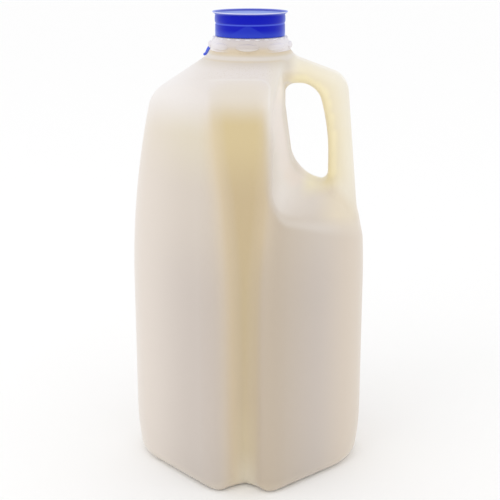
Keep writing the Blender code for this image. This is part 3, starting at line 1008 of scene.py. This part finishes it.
def paintPanel(paint, colour):
    # shoulder: the raised line round the panel, with a painted highlight on it, and a stippled band above it; both
    # are raised a little
    look, fades, panel = plasticLook, skinFades, panelSizes
    x, z, side = paint.x, paint.z, abs(paint.y)
    height = z * panel["rise"] - side * panel["fall"] - panel["level"]
    fromTop = (height + panel["round"]).atLeast(0)
    fromSide = (x - panel["right"] + panel["round"]).atLeast(0)
    ring = (fromTop * fromTop + fromSide * fromSide) ** 0.5
    shown = paint.share(side, *fades["panelOut"]) * paint.share(x, *fades["panelRight"])
    line = paint.share(abs(ring - panel["round"]), *fades["panelLine"]) * shown
    line = line * paint.share(z, *fades["panelUp"]) * paint.share(x, *fades["panelLeft"])
    colour = paint.mix(colour, look["edgeGlow"], line * look["lineShare"])
    grain = paint.noise(**look["stipple"])
    stippled = paint.share(height, *fades["stippleUp"]) * paint.share(z, *fades["stippleTop"]) * shown
    dots = (grain - 0.5).atLeast(0) * stippled * look["stippleShare"]
    relief = line * look["lineRelief"] + grain * stippled * look["stippleRelief"]
    return paint.mix(colour, look["neckFoot"], dots), relief


def paintNeckFoot(paint, colour):
    look, fades, radius = plasticLook, skinFades, paint.fromAxis()
    # painted shade in the crease round the neck's foot, kept off the handle
    dark = paint.share(radius, *fades["neckFoot"]) * (1 - paint.attribute("inHandle"))
    colour = paint.mix(colour, look["neckFoot"], dark)
    ring = paint.share(abs(radius - neckRings["dark"]), *fades["neckRing"])
    ring = ring * paint.share(paint.x, *fades["neckRingRight"])
    colour = paint.mix(colour, look["waist"], ring * look["ringShare"])
    pale = paint.share(abs(radius - neckRings["pale"]), *fades["neckBand"])
    colour = paint.mix(colour, look["headspace"], pale)
    # painted shade: the skin's top below the collar takes the waist's darker ochre
    return paint.mix(colour, look["waist"], paint.share(paint.z, *fades["waistUp"]))


def bottlePlastic():
    look = plasticLook
    paint = Paint("bottlePlastic")
    level = juiceSizes["level"] + look["levelAbove"] + (paint.noise(**look["levelCloud"]) - 0.5) * look["levelWaves"]
    colour = paintHandle(paint, paintPocket(paint, paintWalls(paint, level)))
    colour, relief = paintPanel(paint, colour)
    colour = paintNeckFoot(paint, colour)
    # painted light on the foot
    colour = paint.mix(colour, look["foot"], paint.share(paint.z, *skinFades["foot"]))
    relief = relief + paint.noise(**mouldedGrain) * look["grainRelief"]
    return mouldedFinish(paint, colour, relief, look["relief"], {
        "Roughness": look["roughness"], "Sheen Weight": look["sheen"]})


# Collar plastic: the same polyethylene with no juice behind it, with painted light on its sides and under its lugs,
# and its teeth paler still
collarFades = {
    "up": (232.6 * mm, 235.4 * mm),
    "lug": (21.4 * mm, 21.8 * mm),
    "lugUp": (233 * mm, 234.6 * mm),
    "high": (235 * mm, 238 * mm, 0.7),
    "side": (8 * mm, 19 * mm, 0.8),
}


def collarColour(paint):
    look, fades, z = plasticLook, collarFades, paint.z
    # painted shade: the collar's foot takes the waist's darker ochre
    colour = paint.mix(look["waist"], look["collar"], paint.share(z, *fades["up"]))
    # painted light: the lugs are paler underneath
    lug = paint.mix(look["lugUnderLight"], look["collar"], paint.share(z, *fades["lugUp"]))
    colour = paint.mix(colour, lug, paint.share(paint.fromAxis(), *fades["lug"]))
    colour = paint.mix(colour, look["collarHigh"], paint.share(z, *fades["high"]))
    # painted light: paler towards the collar's sides
    return paint.mix(colour, look["collarSideLight"], paint.share(abs(paint.x), *fades["side"]))


def collarFinish(paint, colour):
    look = plasticLook
    return mouldedFinish(paint, colour, paint.noise(**mouldedGrain), look["collarRelief"], {
        "Roughness": look["collarRoughness"], "Sheen Weight": look["sheen"]})


def collarPlastic():
    paint = Paint("collarPlastic")
    return collarFinish(paint, collarColour(paint))


def toothPlastic():
    paint = Paint("toothPlastic")
    return collarFinish(paint, paint.mix(collarColour(paint), plasticLook["tooth"], plasticLook["toothShare"]))


juiceLook = {
    "clear": screenColour(214, 204, 160),
    "cloudy": screenColour(226, 218, 178),
    "cloud": {"scale": 30, "detail": 4},
    "roughness": 0.12,
    "bend": 1.34,
}


def juiceLiquid():
    look = juiceLook
    paint = Paint("limeJuice")
    colour = paint.mix(look["clear"], look["cloudy"], paint.noise(**look["cloud"]))
    return paint.finish({"Base Color": colour, "Roughness": look["roughness"], "IOR": look["bend"]})


# Cap plastic: deep blue, paler where it is thin or lit through, with painted reflections on its lower band and lip
# and a painted highlight on the lip's rim
capLook = {
    "deep": screenColour(6, 17, 182),
    # painted reflection of the collar on the cap's lower band
    "band": screenColour(46, 66, 196),
    "line": screenColour(84, 104, 226),
    "disc": screenColour(14, 22, 165),
    # painted reflection on the lip and a painted highlight on its rim
    "lip": screenColour(190, 196, 250),
    "rim": screenColour(240, 242, 255),
    "tab": screenColour(86, 108, 236),
    "peakSlope": 1.7,
    "relief": 0.04,
    "roughness": 0.34,
    "shine": 0.1,
    "sheen": 1.0,
    "sheenTint": (0.42, 0.56, 1.0, 1.0),
}


capFades = {
    "low": (capSizes["bandLine"] - 2.2 * mm, capSizes["foot"] + 0.6 * mm),
    "reflectionPeak": (1.6 * mm, -0.6 * mm, 0.5),
    "peakDown": (capSizes["bandLine"], capSizes["bandLine"] - 1 * mm),
    "seam": (0.55 * mm, 0.2 * mm, 0.8),
    "discUp": (capSizes["top"] - 0.3 * mm, capSizes["top"] - 0.05 * mm),
    "discIn": (19.3 * mm, 18.4 * mm),
    "lipUp": (250.7 * mm, 251.3 * mm, 0.45),
    "lipOut": (18.9 * mm, 19.9 * mm),
    "rimUp": (251 * mm, 251.4 * mm),
    "rimOut": (19.95 * mm, 20.12 * mm),
    "tabDown": (240 * mm, 239 * mm),
    "tabOut": (19.6 * mm, 21 * mm),
}


def capPlastic():
    look, fades = capLook, capFades
    paint = Paint("capPlastic")
    z, radius = paint.z, paint.fromAxis()
    fromLine = z - capSizes["bandLine"]
    # painted reflection: the lower band is paler, with a paler inverted V at front and back
    colour = paint.mix(look["deep"], look["band"], paint.share(z, *fades["low"]))
    reflectionPeak = paint.share(abs(paint.x) + fromLine * look["peakSlope"], *fades["reflectionPeak"])
    colour = paint.mix(colour, look["band"], reflectionPeak * paint.share(z, *fades["peakDown"]))
    colour = paint.mix(colour, look["line"], paint.share(abs(fromLine), *fades["seam"]))
    disc = paint.share(z, *fades["discUp"]) * paint.share(radius, *fades["discIn"])
    colour = paint.mix(colour, look["disc"], disc)
    # painted reflection, with light through the thin lip, makes the lip pale
    lip = paint.share(radius, *fades["lipOut"]) * paint.share(z, *fades["lipUp"])
    colour = paint.mix(colour, look["lip"], lip)
    # painted highlight along the lip's outer rim
    rim = paint.share(radius, *fades["rimOut"]) * paint.share(z, *fades["rimUp"])
    colour = paint.mix(colour, look["rim"], rim)
    tabFace = paint.share(radius, *fades["tabOut"]) * paint.share(z, *fades["tabDown"])
    colour = paint.mix(colour, look["tab"], tabFace)
    return mouldedFinish(paint, colour, paint.noise(**mouldedGrain), look["relief"], {
        "Roughness": look["roughness"], "Specular IOR Level": look["shine"],
        "Sheen Weight": look["sheen"], "Sheen Tint": look["sheenTint"]})


def dress(piece, node, material=None):
    if material:
        piece.data.materials.clear()
        piece.data.materials.append(material)
    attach(piece, "root")
    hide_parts(node)


outerSkin = makeSkin()
thinSkin = thinnedSkin(outerSkin, skinSizes["innerTriangles"])
collar, blue = collarPlastic(), capPlastic()
dress(makeBottle(outerSkin, thinSkin), "bottle", bottlePlastic())
dress(makeNeck(), "bottle", collar)
padTree, padInputs = padRingTree()
dress(makePads("collarLugs", padTree, padInputs, padSizes["lugs"], collar), "bottle")
dress(makePads("collarTeeth", padTree, padInputs, padSizes["teeth"], toothPlastic()), "bottle")
print("bottle and neck dressed")
dress(makeJuice(thinSkin), "juice", juiceLiquid())
print("juice filled")
dress(makeCap(), "cap", blue)
dress(makeTab(), "cap", blue)
print("cap on")


# Studio: a wide pale floor, white surroundings and one big soft lamp
studio = {
    "floor": screenColour(250, 250, 250),
    "floorReach": 12.0,
    "floorRoughness": 0.9,
    "surroundings": 1.03,
    "keyPower": 1.4,
    "keyPlace": (-0.75, -0.8, 0.95),
    "keySize": 0.8,
    "aim": (0, 0, 0.12),
}


def softLamp():
    light = bpy.data.lights.new("keyLamp", "AREA")
    light.energy, light.size = studio["keyPower"], studio["keySize"]
    lamp = linked("keyLamp", light)
    lamp.location = studio["keyPlace"]
    towards = Vector(studio["aim"]) - Vector(studio["keyPlace"])
    lamp.rotation_euler = towards.to_track_quat("-Z", "Y").to_euler()


def makeFloor():
    reach = studio["floorReach"]
    corners = [(-reach, -reach, 0), (reach, -reach, 0), (reach, reach, 0), (-reach, reach, 0)]
    mesh = bpy.data.meshes.new("studioFloor")
    mesh.from_pydata(corners, [], [(0, 1, 2, 3)])
    floorPaint = {"Base Color": studio["floor"], "Roughness": studio["floorRoughness"]}
    mesh.materials.append(Paint("studioFloor").finish(floorPaint))
    linked("studioFloor", mesh)


def makeSurroundings():
    world = bpy.data.worlds.new("studio")
    world.use_nodes = True
    background = world.node_tree.nodes["Background"]
    background.inputs["Color"].default_value = (1, 1, 1, 1)
    background.inputs["Strength"].default_value = studio["surroundings"]
    bpy.context.scene.world = world
    bpy.context.scene.view_settings.view_transform = "Standard"


# Camera: fitted to the photograph
cameraSizes = {
    "distance": 607.9 * mm,
    "height": 294.8 * mm,
    "tilt": math.radians(15.7),
    "turn": 0.067,  # round the bottle, in radians
    "sensor": 36,
    "lens": 80.95,
    "shift": (-0.0002, -0.0139),
    "sees": 50,
}


def makeCamera():
    size = cameraSizes
    data = bpy.data.cameras.new("camera")
    data.sensor_width, data.lens = size["sensor"], size["lens"]
    data.shift_x, data.shift_y = size["shift"]
    data.clip_end = size["sees"]
    camera = linked("camera", data)
    turn = Matrix.Rotation(size["turn"], 4, "Z")
    place = turn @ Vector((0, -size["distance"], size["height"]))
    camera.matrix_world = Matrix.Translation(place) @ turn @ Matrix.Rotation(math.pi / 2 - size["tilt"], 4, "X")
    bpy.context.scene.camera = camera


makeFloor()
makeSurroundings()
softLamp()
makeCamera()
print("studio set")
